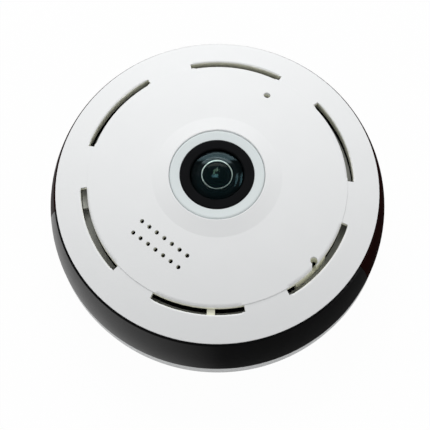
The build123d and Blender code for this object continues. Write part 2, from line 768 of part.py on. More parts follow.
# Top cover: dome with a raised disc, arc slots, a boss round the lens, sound holes and collars
with BuildPart() as top_cover:
    with BuildSketch(Plane.XZ):
        with BuildLine():
            ThreePointArc(
                (trim_seat_r, boss_top_z - boss_lip_round),
                (trim_seat_r + boss_lip_round * 0.3, boss_top_z - boss_lip_round * 0.3),
                (trim_seat_r + boss_lip_round, boss_top_z),
            )
            Line((trim_seat_r + boss_lip_round, boss_top_z), dome_point(boss_foot_r))
            ThreePointArc(
                dome_point(boss_foot_r),
                dome_point((boss_foot_r + disc_r) / 2),
                dome_point(disc_r),
            )
            Line(dome_point(disc_r), dome_point(disc_r, ring_dome_r))
            ThreePointArc(
                dome_point(disc_r, ring_dome_r),
                dome_point((disc_r + cover_r) / 2, ring_dome_r),
                (cover_r, dome_edge_z),
            )
            Polyline(
                (cover_r, dome_edge_z),
                (cover_r, cover_z),
                (spigot_r, cover_z),
                (spigot_r, deck_z),
                (spigot_r - spigot_wall, deck_z),
                dome_point(spigot_r - spigot_wall, under_dome_r),
            )
            ThreePointArc(
                dome_point(spigot_r - spigot_wall, under_dome_r),
                dome_point((spigot_r + collar_r) / 2, under_dome_r),
                dome_point(collar_r, under_dome_r),
            )
            Polyline(
                dome_point(collar_r, under_dome_r),
                (collar_r, trim_seat_z - collar_h),
                (collar_bore_r, trim_seat_z - collar_h),
                (collar_bore_r, trim_seat_z),
                (trim_seat_r, trim_seat_z),
                (trim_seat_r, boss_top_z - boss_lip_round),
            )
        make_face()
    revolve(axis=Axis.Z)
    with BuildSketch(Plane.XY.offset(under_dome_z - edge_round)):
        with PolarLocations(0, slot_count, start_angle=slot_start):
            add(arc_face(disc_r, slot_outer_r, -slot_half_angle, slot_half_angle))
    extrude(amount=boss_top_z - dome_edge_z, mode=Mode.SUBTRACT)
    outer_rim = rim_cutter(slot_outer_r, slot_outer_round_w, ring_dome_r)
    inner_rim = rim_cutter(disc_r, -slot_inner_round_w, dome_r)
    for index in range(slot_count):
        angle = slot_start + index * 360 / slot_count
        add(outer_rim.rotate(Axis.Z, angle), mode=Mode.SUBTRACT)
        add(inner_rim.rotate(Axis.Z, angle), mode=Mode.SUBTRACT)
    with BuildSketch(Plane.XY.offset(under_dome_z - skirt_h)):
        Circle(slot_outer_r + skirt_wall)
        Circle(slot_outer_r, mode=Mode.SUBTRACT)
    extrude(amount=skirt_h + edge_round)
    with BuildSketch(Plane.XY.offset(light_wall_z)):
        add(arc_face(disc_r - light_wall, disc_r, light_wall_from, light_wall_to))
    extrude(amount=dome_point(disc_r - light_wall, under_dome_r)[1] - light_wall_z + edge_round)
    with BuildSketch(Plane.XY.offset(under_notch_z - key_wall_h)):
        with Locations((notch_x, notch_y)):
            Circle(notch_head_r + key_wall)
        Circle(disc_r, mode=Mode.INTERSECT)
    extrude(amount=key_wall_h + edge_round)
    with BuildSketch(Plane.XY.offset(deck_z)):
        for angle in column_angles:
            with PolarLocations(column_pitch_r, 1, start_angle=angle):
                Circle(cover_boss_r)
    extrude(amount=under_dome_z - deck_z)
    with BuildSketch(on_dome(speaker_pitch_r, speaker_angle, speaker_seat + speaker_cup_h)):
        Circle(speaker_r + fit + speaker_cup_wall)
    extrude(amount=speaker_seat + speaker_cup_h - cover_wall / 2 - edge_round)
    with BuildSketch(on_dome(speaker_pitch_r, speaker_angle, speaker_seat + speaker_cup_h)):
        Circle(speaker_r + fit)
    extrude(amount=speaker_cup_h, mode=Mode.SUBTRACT)
    with BuildSketch(on_dome(speaker_pitch_r, speaker_angle, speaker_seat)):
        with GridLocations(speaker_hole_pitch, speaker_row_gap, speaker_holes_per_row, 2):
            Circle(speaker_hole_r)
    extrude(amount=2 * speaker_seat, mode=Mode.SUBTRACT)
    with BuildSketch(on_dome(mic_pitch_r, mic_angle, mic_seat + mic_cup_h)):
        Circle(mic_r + boot_wall + snug + boot_wall)
    extrude(amount=mic_seat + mic_cup_h - cover_wall / 2 - edge_round)
    with BuildSketch(on_dome(mic_pitch_r, mic_angle, mic_seat + mic_cup_h)):
        Circle(mic_r + boot_wall + snug)
    extrude(amount=mic_cup_h, mode=Mode.SUBTRACT)
    with BuildSketch(on_dome(mic_pitch_r, mic_angle, mic_seat)):
        Circle(mic_hole_r)
    extrude(amount=2 * mic_seat, mode=Mode.SUBTRACT)
    with BuildSketch(Plane.XY.offset(dome_edge_z)):
        with Locations((notch_x, notch_y)):
            Circle(notch_head_r)
        with Locations((notch_x, notch_y - notch_l / 2)):
            Rectangle(notch_w, notch_l)
    extrude(amount=boss_top_z - dome_edge_z, mode=Mode.SUBTRACT)
    with BuildSketch(Plane.XY.offset(slot_rim_z - slot_bridge_drop - slot_bridge_wall)):
        bridge_r = slot_outer_r + skirt_wall / 2
        add(arc_face(disc_r - spigot_wall, bridge_r, slot_bridge_from, slot_bridge_to))
    extrude(amount=slot_bridge_wall)
    with Locations(Plane.XY.offset(deck_z)):
        for angle in column_angles:
            with PolarLocations(column_pitch_r, 1, start_angle=angle):
                with Locations(Location((0, 0, 0), (180, 0, 0))):
                    Hole(pilot_r, depth=screw_bite + edge_round)
top_cover.part.label = "top_cover"
export_step(top_cover.part, "parts/top_cover.step")

# Lens trim ring: glossy ring that drops into the boss, dished towards the lens
with BuildPart() as lens_trim_ring:
    with BuildSketch(Plane.XZ):
        with BuildLine():
            Polyline(
                (trim_bore_r, boss_top_z - trim_dip),
                (trim_bore_r, trim_seat_z - trim_skirt_h),
                (trim_skirt_r, trim_seat_z - trim_skirt_h),
                (trim_skirt_r, trim_seat_z),
                (trim_r, trim_seat_z),
                (trim_r, boss_top_z - trim_round),
            )
            ThreePointArc(
                (trim_r, boss_top_z - trim_round),
                (trim_r - trim_round * 0.3, boss_top_z - trim_round * 0.3),
                (trim_r - trim_round, boss_top_z),
            )
            Line((trim_r - trim_round, boss_top_z), (trim_bore_r, boss_top_z - trim_dip))
        make_face()
    revolve(axis=Axis.Z)
lens_trim_ring.part.label = "lens_trim_ring"
export_step(lens_trim_ring.part, "parts/lens_trim_ring.step")


# Lens bezel: matt cap over the front glass, with a lip that holds the glass down
with BuildPart() as lens_bezel:
    with BuildSketch(Plane.XZ):
        with BuildLine():
            Polyline(
                (bezel_lip_r, bezel_top_z - lip_wall),
                (bezel_lip_r, bezel_top_z - lip_wall * 0.5),
                (bezel_lip_r + edge_round, bezel_top_z),
                (bezel_r - bezel_bevel, bezel_top_z),
                (bezel_r, bezel_top_z - bezel_bevel),
                (bezel_r, bezel_z),
                (barrel_head_r, bezel_z),
                (barrel_head_r, glass_z),
                (glass_r + snug, glass_z),
                (glass_r + snug, bezel_top_z - lip_wall),
                close=True,
            )
        make_face()
    revolve(axis=Axis.Z)
lens_bezel.part.label = "lens_bezel"
export_step(lens_bezel.part, "parts/lens_bezel.step")


# Front glass: large domed fisheye element, hollow at the back
with BuildPart() as front_glass:
    with BuildSketch(Plane.XZ):
        with BuildLine():
            ThreePointArc(
                (0, glass_apex_z),
                (glass_edge_r / 2, glass_apex_z - arc_height(glass_front_r, glass_edge_r / 2)),
                (glass_edge_r, glass_top_z),
            )
            Polyline(
                (glass_edge_r, glass_top_z),
                (glass_r, glass_top_z),
                (glass_r, glass_z),
                (glass_back_edge_r, glass_z),
            )
            ThreePointArc(
                (glass_back_edge_r, glass_z),
                (glass_back_edge_r / 2, glass_hollow_z - arc_height(glass_back_r, glass_back_edge_r / 2)),
                (0, glass_hollow_z),
            )
            Line((0, glass_hollow_z), (0, glass_apex_z))
        make_face()
    revolve(axis=Axis.Z)
front_glass.part.label = "front_glass"
export_step(front_glass.part, "parts/front_glass.step")


# Second element: smaller domed glass inside the barrel
with BuildPart() as second_element:
    with BuildSketch(Plane.XZ):
        with BuildLine():
            ThreePointArc(
                (0, element_apex_z),
                (element_r / 2, element_apex_z - arc_height(element_front_r, element_r / 2)),
                (element_r, element_top_z),
            )
            Polyline((element_r, element_top_z), (element_r, element_z), (element_back_edge_r, element_z))
            ThreePointArc(
                (element_back_edge_r, element_z),
                (
                    element_back_edge_r / 2,
                    element_hollow_z - arc_height(element_back_r, element_back_edge_r / 2),
                ),
                (0, element_hollow_z),
            )
            Line((0, element_hollow_z), (0, element_apex_z))
        make_face()
    revolve(axis=Axis.Z)
second_element.part.label = "second_element"
export_step(second_element.part, "parts/second_element.step")


# Element retainer: bright ring that lies on the edge of the second element
with BuildPart() as element_retainer:
    with BuildSketch(Plane.XY.offset(element_top_z)):
        Circle(retainer_r)
        Circle(element_r - retainer_wall, mode=Mode.SUBTRACT)
    extrude(amount=retainer_h)
    with Locations((0, 0, element_apex_z + thread_gap - element_front_r)):
        Sphere(element_front_r, mode=Mode.SUBTRACT)
element_retainer.part.label = "element_retainer"
export_step(element_retainer.part, "parts/element_retainer.step")


# Lens barrel: wide head under the bezel, threaded tail in the holder
with BuildPart() as lens_barrel:
    with BuildSketch(Plane.XZ):
        with BuildLine():
            Polyline(
                (barrel_bore_r, barrel_tail_z),
                (barrel_thread_r, barrel_tail_z),
                (barrel_thread_r, barrel_neck_z),
                (barrel_head_r, barrel_neck_z + barrel_cone_h),
                (barrel_head_r, glass_z),
                (turret_r, glass_z),
                (turret_r, element_top_z + snug),
                (retainer_r + snug, element_top_z + snug),
                (retainer_r + snug, element_top_z),
                (element_r + snug, element_top_z),
                (element_r + snug, element_z),
                (barrel_bore_r, element_z),
                close=True,
            )
        make_face()
    revolve(axis=Axis.Z)
    with BuildSketch(Plane.XY.offset(barrel_tail_z)):
        Circle(rear_glass_r + thread_gap)
    extrude(amount=rear_glass_h, mode=Mode.SUBTRACT)
lens_barrel.part.label = "lens_barrel"
export_step(lens_barrel.part, "parts/lens_barrel.step")


# Rear element: last glass of the lens, at the end of the barrel
with BuildPart() as rear_element:
    with BuildSketch(Plane.XY.offset(barrel_tail_z + thread_gap)):
        Circle(rear_glass_r)
    extrude(amount=rear_glass_h - thread_gap)
rear_element.part.label = "rear_element"
export_step(rear_element.part, "parts/rear_element.step")


# Lens holder: square foot over the sensor, threaded tube for the barrel, two screw ears
with BuildPart() as lens_holder:
    with BuildSketch(Plane.XY.offset(sensor_board_top_z)):
        RectangleRounded(holder_side, holder_side, holder_round)
    extrude(amount=holder_base_h)
    with BuildSketch(Plane.XY.offset(sensor_board_top_z)):
        with GridLocations(2 * holder_ear_x, 0, 2, 1):
            Circle(holder_ear_r)
        Rectangle(2 * holder_ear_x, 2 * holder_ear_r)
    extrude(amount=holder_ear_h)
    with BuildSketch(Plane.XY.offset(sensor_board_top_z)):
        Circle(barrel_thread_r + thread_gap + holder_tube_wall)
    extrude(amount=holder_h)
    with BuildSketch(Plane.XY.offset(sensor_board_top_z)):
        Rectangle(sensor_w + 2 * sensor_room, sensor_d + 2 * sensor_room)
    extrude(amount=filter_z - sensor_board_top_z, mode=Mode.SUBTRACT)
    with BuildSketch(Plane.XY.offset(filter_z)):
        Rectangle(filter_side + 2 * snug, filter_side + 2 * snug)
    extrude(amount=filter_wall, mode=Mode.SUBTRACT)
    with BuildSketch(Plane.XY.offset(filter_z)):
        Rectangle(holder_window, holder_window)
    extrude(amount=holder_base_h, mode=Mode.SUBTRACT)
    with BuildSketch(Plane.XY.offset(holder_bore_z)):
        Circle(barrel_thread_r + thread_gap)
    extrude(amount=holder_h, mode=Mode.SUBTRACT)
    with BuildSketch(Plane.XY.offset(sensor_board_top_z)):
        with GridLocations(2 * holder_ear_x, 0, 2, 1):
            Circle(small_screw_r + thread_gap)
    extrude(amount=holder_ear_h, mode=Mode.SUBTRACT)
lens_holder.part.label = "lens_holder"
export_step(lens_holder.part, "parts/lens_holder.step")


# Infrared cut filter: thin plate in the pocket over the sensor
with BuildPart() as ir_cut_filter:
    with Locations((0, 0, filter_z)):
        Box(filter_side, filter_side, filter_wall, align=(Align.CENTER, Align.CENTER, Align.MIN))
ir_cut_filter.part.label = "ir_cut_filter"
export_step(ir_cut_filter.part, "parts/ir_cut_filter.step")


# Image sensor: chip on its board, with the sensitive face let in
with BuildPart() as image_sensor:
    with BuildSketch(Plane.XY.offset(sensor_board_top_z)):
        Rectangle(sensor_w, sensor_d)
    extrude(amount=sensor_h)
    with BuildSketch(Plane.XY.offset(sensor_board_top_z + sensor_h)):
        Rectangle(sensor_face_w, sensor_face_d)
    extrude(amount=-sensor_face_dip, mode=Mode.SUBTRACT)
image_sensor.part.label = "image_sensor"
export_step(image_sensor.part, "parts/image_sensor.step")


# Sensor board: small square board that carries the lens, on four standoffs
with BuildPart() as sensor_board:
    with BuildSketch(Plane.XY.offset(sensor_board_z)):
        RectangleRounded(sensor_board_side, sensor_board_side, sensor_board_round)
        with GridLocations(stand_pitch, stand_pitch, 2, 2):
            Circle(small_screw_r + snug, mode=Mode.SUBTRACT)
        with GridLocations(2 * holder_ear_x, 0, 2, 1):
            Circle(small_screw_r + snug, mode=Mode.SUBTRACT)
    extrude(amount=board_wall)
sensor_board.part.label = "sensor_board"
export_step(sensor_board.part, "parts/sensor_board.step")


# Board standoffs: four hexagon pillars, pressed into the main board
with BuildPart() as board_standoffs:
    with BuildSketch(Plane.XY.offset(board_top_z)):
        with GridLocations(stand_pitch, stand_pitch, 2, 2):
            RegularPolygon(stand_flats / 2, 6, major_radius=False)
    extrude(amount=stand_h)
    with BuildSketch(Plane.XY.offset(board_z)):
        with GridLocations(stand_pitch, stand_pitch, 2, 2):
            Circle(stand_stud_r)
    extrude(amount=board_wall)
    with BuildSketch(Plane.XY.offset(sensor_board_z)):
        with GridLocations(stand_pitch, stand_pitch, 2, 2):
            Circle(small_screw_r + thread_gap)
    extrude(amount=-small_screw_l, mode=Mode.SUBTRACT)
board_standoffs.part.label = "board_standoffs"
export_step(board_standoffs.part, "parts/board_standoffs.step")


def pan_screw(top_r, top_h, shank_r, shank_l):
    """Cross-slotted pan head screw, its seat at the origin and its shank downwards."""
    with BuildPart() as screw:
        Cylinder(top_r, top_h, align=(Align.CENTER, Align.CENTER, Align.MIN))
        fillet(screw.edges().filter_by(GeomType.CIRCLE).sort_by(Axis.Z)[-1], top_h * 0.35)
        Cylinder(shank_r, shank_l, align=(Align.CENTER, Align.CENTER, Align.MAX))
        with BuildSketch(Plane.XY.offset(top_h)):
            Rectangle(top_r * 1.1, top_r * 0.28)
            Rectangle(top_r * 0.28, top_r * 1.1)
        extrude(amount=-top_h * 0.5, mode=Mode.SUBTRACT)
    return screw.part


# Sensor board screws: four small screws into the standoffs
with BuildPart() as sensor_screws:
    small_screw = pan_screw(small_head_r, small_head_h, small_screw_r, board_wall + small_screw_l - fit)
    with Locations(Plane.XY.offset(sensor_board_top_z)):
        with GridLocations(stand_pitch, stand_pitch, 2, 2):
            add(small_screw)
sensor_screws.part.label = "sensor_screws"
export_step(sensor_screws.part, "parts/sensor_screws.step")


# Holder screws: two small screws from below the sensor board into the ears
with BuildPart() as holder_screws:
    short_screw = pan_screw(small_head_r, small_head_h, small_screw_r, board_wall + holder_ear_h - fit)
    for side in (-1, 1):
        with Locations(Location((side * holder_ear_x, 0, sensor_board_z), (180, 0, 0))):
            add(short_screw)
holder_screws.part.label = "holder_screws"
export_step(holder_screws.part, "parts/holder_screws.step")


# Main board: round board with notches for the columns and a tongue for the power inlet
with BuildPart() as main_board:
    with BuildSketch(Plane.XY.offset(board_z)):
        Circle(board_r)
        with Locations((0, board_tab_y / 2)):
            Rectangle(board_tab_w, board_tab_y)
        for angle in column_angles:
            with PolarLocations(column_pitch_r, 1, start_angle=angle):
                Circle(column_r + board_notch_gap, mode=Mode.SUBTRACT)
        with GridLocations(2 * post_x, 2 * post_y, 2, 2):
            Circle(screw_hole_r, mode=Mode.SUBTRACT)
        with GridLocations(stand_pitch, stand_pitch, 2, 2):
            Circle(stand_stud_r, mode=Mode.SUBTRACT)
    extrude(amount=board_wall)
main_board.part.label = "main_board"
export_step(main_board.part, "parts/main_board.step")


# Board screws: four screws that hold the main board on the posts of the shell
with BuildPart() as board_screws:
    board_screw = pan_screw(head_r, head_h, screw_r, board_screw_l)
    with Locations(Plane.XY.offset(board_top_z)):
        with GridLocations(2 * post_x, 2 * post_y, 2, 2):
            add(board_screw)
board_screws.part.label = "board_screws"
export_step(board_screws.part, "parts/board_screws.step")


# Cover screws: three long screws from below, through shell and deck into the cover
with BuildPart() as cover_screws:
    cover_screw = pan_screw(head_r, head_h, screw_r, column_top_wall + deck_wall + screw_bite)
    for angle in column_angles:
        turn = radians(angle)
        spot = (column_pitch_r * cos(turn), column_pitch_r * sin(turn), head_seat_z)
        with Locations(Location(spot, (180, 0, 0))):
            add(cover_screw)
cover_screws.part.label = "cover_screws"
export_step(cover_screws.part, "parts/cover_screws.step")


# Processor in the middle of the main board
with BuildPart() as processor:
    with Locations((0, 0, board_top_z)):
        Box(chip_side, chip_side, chip_h, align=(Align.CENTER, Align.CENTER, Align.MIN))
processor.part.label = "processor"
export_step(processor.part, "parts/processor.step")


# Heat sink: finned block on the processor, under the sensor board
with BuildPart() as heat_sink:
    with Locations((0, 0, board_top_z + chip_h)):
        Box(sink_side, sink_side, sink_h, align=(Align.CENTER, Align.CENTER, Align.MIN))
    with Locations((0, 0, board_top_z + chip_h + sink_h)):
        with GridLocations(sink_pitch, 0, sink_groove_count, 1):
            groove = (sink_groove_w, sink_side, sink_h - sink_base_h)
            Box(*groove, align=(Align.CENTER, Align.CENTER, Align.MAX), mode=Mode.SUBTRACT)
heat_sink.part.label = "heat_sink"
export_step(heat_sink.part, "parts/heat_sink.step")


# Memory chips beside the processor
with BuildPart() as memory_chips:
    for x, y, width, depth in memory_spots:
        with Locations((x, y, board_top_z)):
            Box(width, depth, memory_h, align=(Align.CENTER, Align.CENTER, Align.MIN))
memory_chips.part.label = "memory_chips"
export_step(memory_chips.part, "parts/memory_chips.step")


# Network module: small board with a shield can
with BuildPart() as wifi_module:
    with Locations((module_x, module_y, board_top_z)):
        Box(module_w, module_d, module_wall, align=(Align.CENTER, Align.CENTER, Align.MIN))
    can_y = module_y + (module_d - can_d) / 2 - can_edge
    with Locations((module_x, can_y, board_top_z + module_wall)):
        Box(module_w - 2 * can_edge, can_d, can_h, align=(Align.CENTER, Align.CENTER, Align.MIN))
    plug_x = module_x + module_w / 2 - 2 * aerial_plug_r
    plug_y = module_y - module_d / 2 + aerial_plug_r + snug
    with Locations((plug_x, plug_y, board_top_z + module_wall)):
        Cylinder(aerial_plug_r, aerial_plug_h, align=(Align.CENTER, Align.CENTER, Align.MIN))
wifi_module.part.label = "wifi_module"
export_step(wifi_module.part, "parts/wifi_module.step")


# Antenna: thin flexible strip under the deck
with BuildPart() as wifi_antenna:
    with BuildSketch(Plane.XY.offset(deck_under_z)):
        add(arc_face(antenna_in_r, antenna_out_r, antenna_from_angle, antenna_to_angle))
    extrude(amount=-antenna_wall)
wifi_antenna.part.label = "wifi_antenna"
export_step(wifi_antenna.part, "parts/wifi_antenna.step")


# Coils of the power supply
with BuildPart() as power_coils:
    for x, y in coil_spots:
        with Locations((x, y, board_top_z)):
            Box(coil_side, coil_side, coil_h, align=(Align.CENTER, Align.CENTER, Align.MIN))
            Cylinder(coil_core_r, coil_core_h, align=(Align.CENTER, Align.CENTER, Align.MIN))
power_coils.part.label = "power_coils"
export_step(power_coils.part, "parts/power_coils.step")


# Capacitors: round cans on square feet
with BuildPart() as capacitors:
    foot = (capacitor_foot, capacitor_foot, capacitor_foot_h)
    for inset, angle in capacitor_places:
        reach = board_r - inset
        x, y = reach * cos(radians(angle)), reach * sin(radians(angle))
        with Locations((x, y, board_top_z)):
            Box(*foot, align=(Align.CENTER, Align.CENTER, Align.MIN))
            Cylinder(capacitor_r, capacitor_h, align=(Align.CENTER, Align.CENTER, Align.MIN))
capacitors.part.label = "capacitors"
export_step(capacitors.part, "parts/capacitors.step")


# Wire plugs: four small white sockets for speaker, microphone and lamps
plug_spots = []
for inset, angle, turn in plug_places:
    reach = board_r - inset
    plug_spots.append((reach * cos(radians(angle)), reach * sin(radians(angle)), turn))
with BuildPart() as wire_plugs:
    for x, y, turn in plug_spots:
        with Locations(Location((x, y, board_top_z), (0, 0, turn))):
            Box(plug_w, plug_d, plug_h, align=(Align.CENTER, Align.CENTER, Align.MIN))
wire_plugs.part.label = "wire_plugs"
export_step(wire_plugs.part, "parts/wire_plugs.step")


# Wires: a pair from each plug to speaker, microphone and lamp boards
with BuildPart() as plug_wires:
    wire_ends = (
        on_dome(speaker_pitch_r, speaker_angle, speaker_top + speaker_h),
        on_dome(mic_pitch_r, mic_angle, mic_top + mic_h),
        facing_out(lamp_board_r - lamp_board_wall, window_angles[0], lamp_z),
        facing_out(lamp_board_r - lamp_board_wall, window_angles[1], lamp_z),
    )
    for spot, end in zip(plug_spots, wire_ends):
        for side in (-1, 1):
            apart = end.x_dir * side * (wire_r + fit)
            start = Vector(spot[0], spot[1], board_top_z + plug_h) + apart
            stop = end.origin + apart
            with BuildLine() as run:
                FilletPolyline(
                    start,
                    start + Vector(0, 0, wire_rise),
                    stop - end.z_dir * wire_rise,
                    stop,
                    radius=wire_bend_r,
                )
            with BuildSketch(Plane(origin=start, z_dir=(0, 0, 1))):
                Circle(wire_r)
            sweep(path=run.line)
plug_wires.part.label = "plug_wires"
export_step(plug_wires.part, "parts/plug_wires.step")


# Ribbon sockets: one on each board
with BuildPart() as ribbon_sockets:
    with Locations((0, sensor_socket_y, sensor_board_top_z), (0, main_socket_y, board_top_z)):
        socket = (ribbon_w + 2 * ribbon_socket_side, ribbon_socket_d, ribbon_socket_h)
        Box(*socket, align=(Align.CENTER, Align.CENTER, Align.MIN))
ribbon_sockets.part.label = "ribbon_sockets"
export_step(ribbon_sockets.part, "parts/ribbon_sockets.step")


# Sensor ribbon: flat cable that drops from the sensor board to the main board
with BuildPart() as sensor_ribbon:
    high_z = sensor_board_top_z + ribbon_socket_h / 2
    low_z = board_top_z + ribbon_socket_h / 2
    start_y = sensor_socket_y - ribbon_socket_d / 2
    end_y = main_socket_y + ribbon_socket_d / 2
    drop_y = (start_y + end_y) / 2
    with BuildSketch(Plane.YZ.offset(-ribbon_w / 2)):
        with BuildLine() as run:
            FilletPolyline(
                (start_y, high_z),
                (drop_y, high_z),
                (drop_y, low_z),
                (end_y, low_z),
                radius=ribbon_bend_r,
            )
            offset(amount=ribbon_wall, side=Side.LEFT, closed=True)
        make_face()
    extrude(amount=ribbon_w)
sensor_ribbon.part.label = "sensor_ribbon"
export_step(sensor_ribbon.part, "parts/sensor_ribbon.step")


# Speaker: frame, raised cone ring towards the holes and magnet at the back
with BuildPart() as speaker:
    with BuildSketch(on_dome(speaker_pitch_r, speaker_angle, speaker_top)):
        Circle(speaker_r)
    extrude(amount=-speaker_rim_h)
    with BuildSketch(on_dome(speaker_pitch_r, speaker_angle, speaker_top + speaker_rim_h)):
        Circle(speaker_magnet_r)
    extrude(amount=-(speaker_h - speaker_rim_h))
    with BuildSketch(on_dome(speaker_pitch_r, speaker_angle, speaker_top)):
        Circle(speaker_cone_r)
        Circle(speaker_cap_r, mode=Mode.SUBTRACT)
    extrude(amount=-speaker_cone_dip, mode=Mode.SUBTRACT)
speaker.part.label = "speaker"
export_step(speaker.part, "parts/speaker.step")


# Speaker gasket: foam ring between speaker and cover
with BuildPart() as speaker_gasket:
    with BuildSketch(on_dome(speaker_pitch_r, speaker_angle, speaker_seat)):
        Circle(speaker_r)
        Circle(speaker_r - gasket_wall, mode=Mode.SUBTRACT)
    extrude(amount=-gasket_h)
speaker_gasket.part.label = "speaker_gasket"
export_step(speaker_gasket.part, "parts/speaker_gasket.step")


# Microphone boot: rubber cup in the collar of the cover
with BuildPart() as mic_boot:
    with BuildSketch(on_dome(mic_pitch_r, mic_angle, mic_seat)):
        Circle(mic_r + boot_wall)
    extrude(amount=-(boot_wall + mic_h))
    with BuildSketch(on_dome(mic_pitch_r, mic_angle, mic_seat)):
        Circle(mic_hole_r)
    extrude(amount=-boot_wall, mode=Mode.SUBTRACT)
    with BuildSketch(on_dome(mic_pitch_r, mic_angle, mic_top)):
        Circle(mic_r)
    extrude(amount=-mic_h, mode=Mode.SUBTRACT)
mic_boot.part.label = "mic_boot"
export_step(mic_boot.part, "parts/mic_boot.step")


# Microphone capsule
with BuildPart() as microphone:
    with BuildSketch(on_dome(mic_pitch_r, mic_angle, mic_top)):
        Circle(mic_r)
    extrude(amount=-mic_h)
    with BuildSketch(on_dome(mic_pitch_r, mic_angle, mic_top)):
        Circle(mic_hole_r)
    extrude(amount=-mic_port_dip, mode=Mode.SUBTRACT)
microphone.part.label = "microphone"
export_step(microphone.part, "parts/microphone.step")


# Light sensor: round lens on two leads, under the keyhole of the cover
with BuildPart() as light_sensor:
    with PolarLocations(light_sensor_pitch_r, 1, start_angle=notch_angle):
        with Locations((0, 0, light_sensor_z)):
            Cylinder(light_sensor_r, light_sensor_h, align=(Align.CENTER, Align.CENTER, Align.MIN))
        with Locations((0, 0, light_sensor_z + light_sensor_h)):
            Sphere(light_sensor_r)
        with Locations((0, 0, board_top_z)):
            with GridLocations(lead_pitch, 0, 2, 1):
                lead_l = light_sensor_z - board_top_z
                Cylinder(lead_r, lead_l, align=(Align.CENTER, Align.CENTER, Align.MIN))
light_sensor.part.label = "light_sensor"
export_step(light_sensor.part, "parts/light_sensor.step")


# Lamp boards: two upright boards in the guides behind the windows
with BuildPart() as ir_led_boards:
    for angle in window_angles:
        with BuildSketch(facing_out(lamp_board_r, angle, lamp_z)):
            Rectangle(lamp_board_w, lamp_board_h)
        extrude(amount=-lamp_board_wall)
ir_led_boards.part.label = "ir_led_boards"
export_step(ir_led_boards.part, "parts/ir_led_boards.step")


# Infrared lamps: a row of square bodies with a shallow cup on each board
with BuildPart() as ir_leds:
    for angle in window_angles:
        with BuildSketch(facing_out(lamp_board_r, angle, lamp_z)):
            with GridLocations(lamp_pitch, 0, lamp_count, 1):
                Rectangle(lamp_w, lamp_d)
        extrude(amount=lamp_h)
        with BuildSketch(facing_out(lamp_board_r + lamp_h, angle, lamp_z)):
            with GridLocations(lamp_pitch, 0, lamp_count, 1):
                Circle(lamp_cup_r)
        extrude(amount=-lamp_cup_dip, mode=Mode.SUBTRACT)
ir_leds.part.label = "ir_leds"
export_step(ir_leds.part, "parts/ir_leds.step")


# Reset switch: box with a short stem on the edge of the main board
with BuildPart() as reset_switch:
    with BuildSketch(facing_out(switch_face_r, button_angle, button_z)):
        Rectangle(switch_w, switch_h)
    extrude(amount=-switch_d)
    with BuildSketch(facing_out(switch_face_r, button_angle, button_z)):
        Circle(switch_stem_r)
    extrude(amount=switch_stem_l)
reset_switch.part.label = "reset_switch"
export_step(reset_switch.part, "parts/reset_switch.step")


# Reset button: pin through the band, with a flange that keeps it in
with BuildPart() as reset_button:
    with BuildSketch(facing_out(button_in_r, button_angle, button_z)):
        Circle(button_r)
    extrude(amount=button_out_r - button_in_r)
    fillet(reset_button.edges().filter_by(GeomType.CIRCLE).sort_by(SortBy.DISTANCE)[-1], button_round)
    with BuildSketch(facing_out(button_stop_r, button_angle, button_z)):
        Circle(button_flange_r)
    extrude(amount=-button_flange_h)
reset_button.part.label = "reset_button"
export_step(reset_button.part, "parts/reset_button.step")


# Power inlet: folded metal socket with a tongue, open towards the recess in the band
with BuildPart() as usb_socket:
    with BuildSketch(Plane.XZ.offset(-inlet_face_y)):
        with Locations((0, inlet_mid_z)):
            Rectangle(inlet_w, inlet_h)
        with Locations((0, inlet_mid_z)):
            Rectangle(inlet_w - 2 * inlet_wall, inlet_h - 2 * inlet_wall, mode=Mode.SUBTRACT)
    extrude(amount=inlet_d)
    with BuildSketch(Plane.XZ.offset(inlet_d - inlet_face_y)):
        with Locations((0, inlet_mid_z)):
            Rectangle(inlet_w, inlet_h)
    extrude(amount=-inlet_back_wall)
    with BuildSketch(Plane.XZ.offset(inlet_d - inlet_face_y)):
        with Locations((0, inlet_mid_z + inlet_wall / 2)):
            Rectangle(tongue_w, tongue_h)
    extrude(amount=-(inlet_d - tongue_h))
usb_socket.part.label = "usb_socket"
export_step(usb_socket.part, "parts/usb_socket.step")


# Memory card socket: low metal cage with its mouth behind the slot
with BuildPart() as microsd_socket:
    with BuildSketch(facing_out(card_mouth_r - 3 * fit, card_angle, card_mid_z)):
        Rectangle(card_w, card_h)
        Rectangle(card_slot_w - 2 * fit, card_h - 2 * card_wall, mode=Mode.SUBTRACT)
    extrude(amount=-card_d)
    with BuildSketch(facing_out(card_mouth_r - 3 * fit - card_d, card_angle, card_mid_z)):
        Rectangle(card_w, card_h)
    extrude(amount=card_back_wall)
microsd_socket.part.label = "microsd_socket"
export_step(microsd_socket.part, "parts/microsd_socket.step")
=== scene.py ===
import json
import math

import bpy
from mathutils import Matrix, Vector

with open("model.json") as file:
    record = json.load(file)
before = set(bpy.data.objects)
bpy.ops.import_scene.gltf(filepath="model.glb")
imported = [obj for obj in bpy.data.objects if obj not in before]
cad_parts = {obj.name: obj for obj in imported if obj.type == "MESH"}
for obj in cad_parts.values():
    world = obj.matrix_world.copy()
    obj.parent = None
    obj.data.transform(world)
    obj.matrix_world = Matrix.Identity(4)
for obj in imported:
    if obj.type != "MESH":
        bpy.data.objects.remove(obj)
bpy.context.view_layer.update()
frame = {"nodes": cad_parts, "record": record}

# Lengths in this file are in metres, and MM turns millimetres into metres
MM = 0.001

# Camera of the photograph: its place, its angles in degrees, and its lens and sensor in millimetres
CAMERA_PLACE = (-0.00095, -0.26986, 0.68281)
CAMERA_ELEVATION = 68.23
CAMERA_ROLL = -1.07
CAMERA_LENS = 170.05
CAMERA_SENSOR = 36.0
CAMERA_NEAR = 0.01

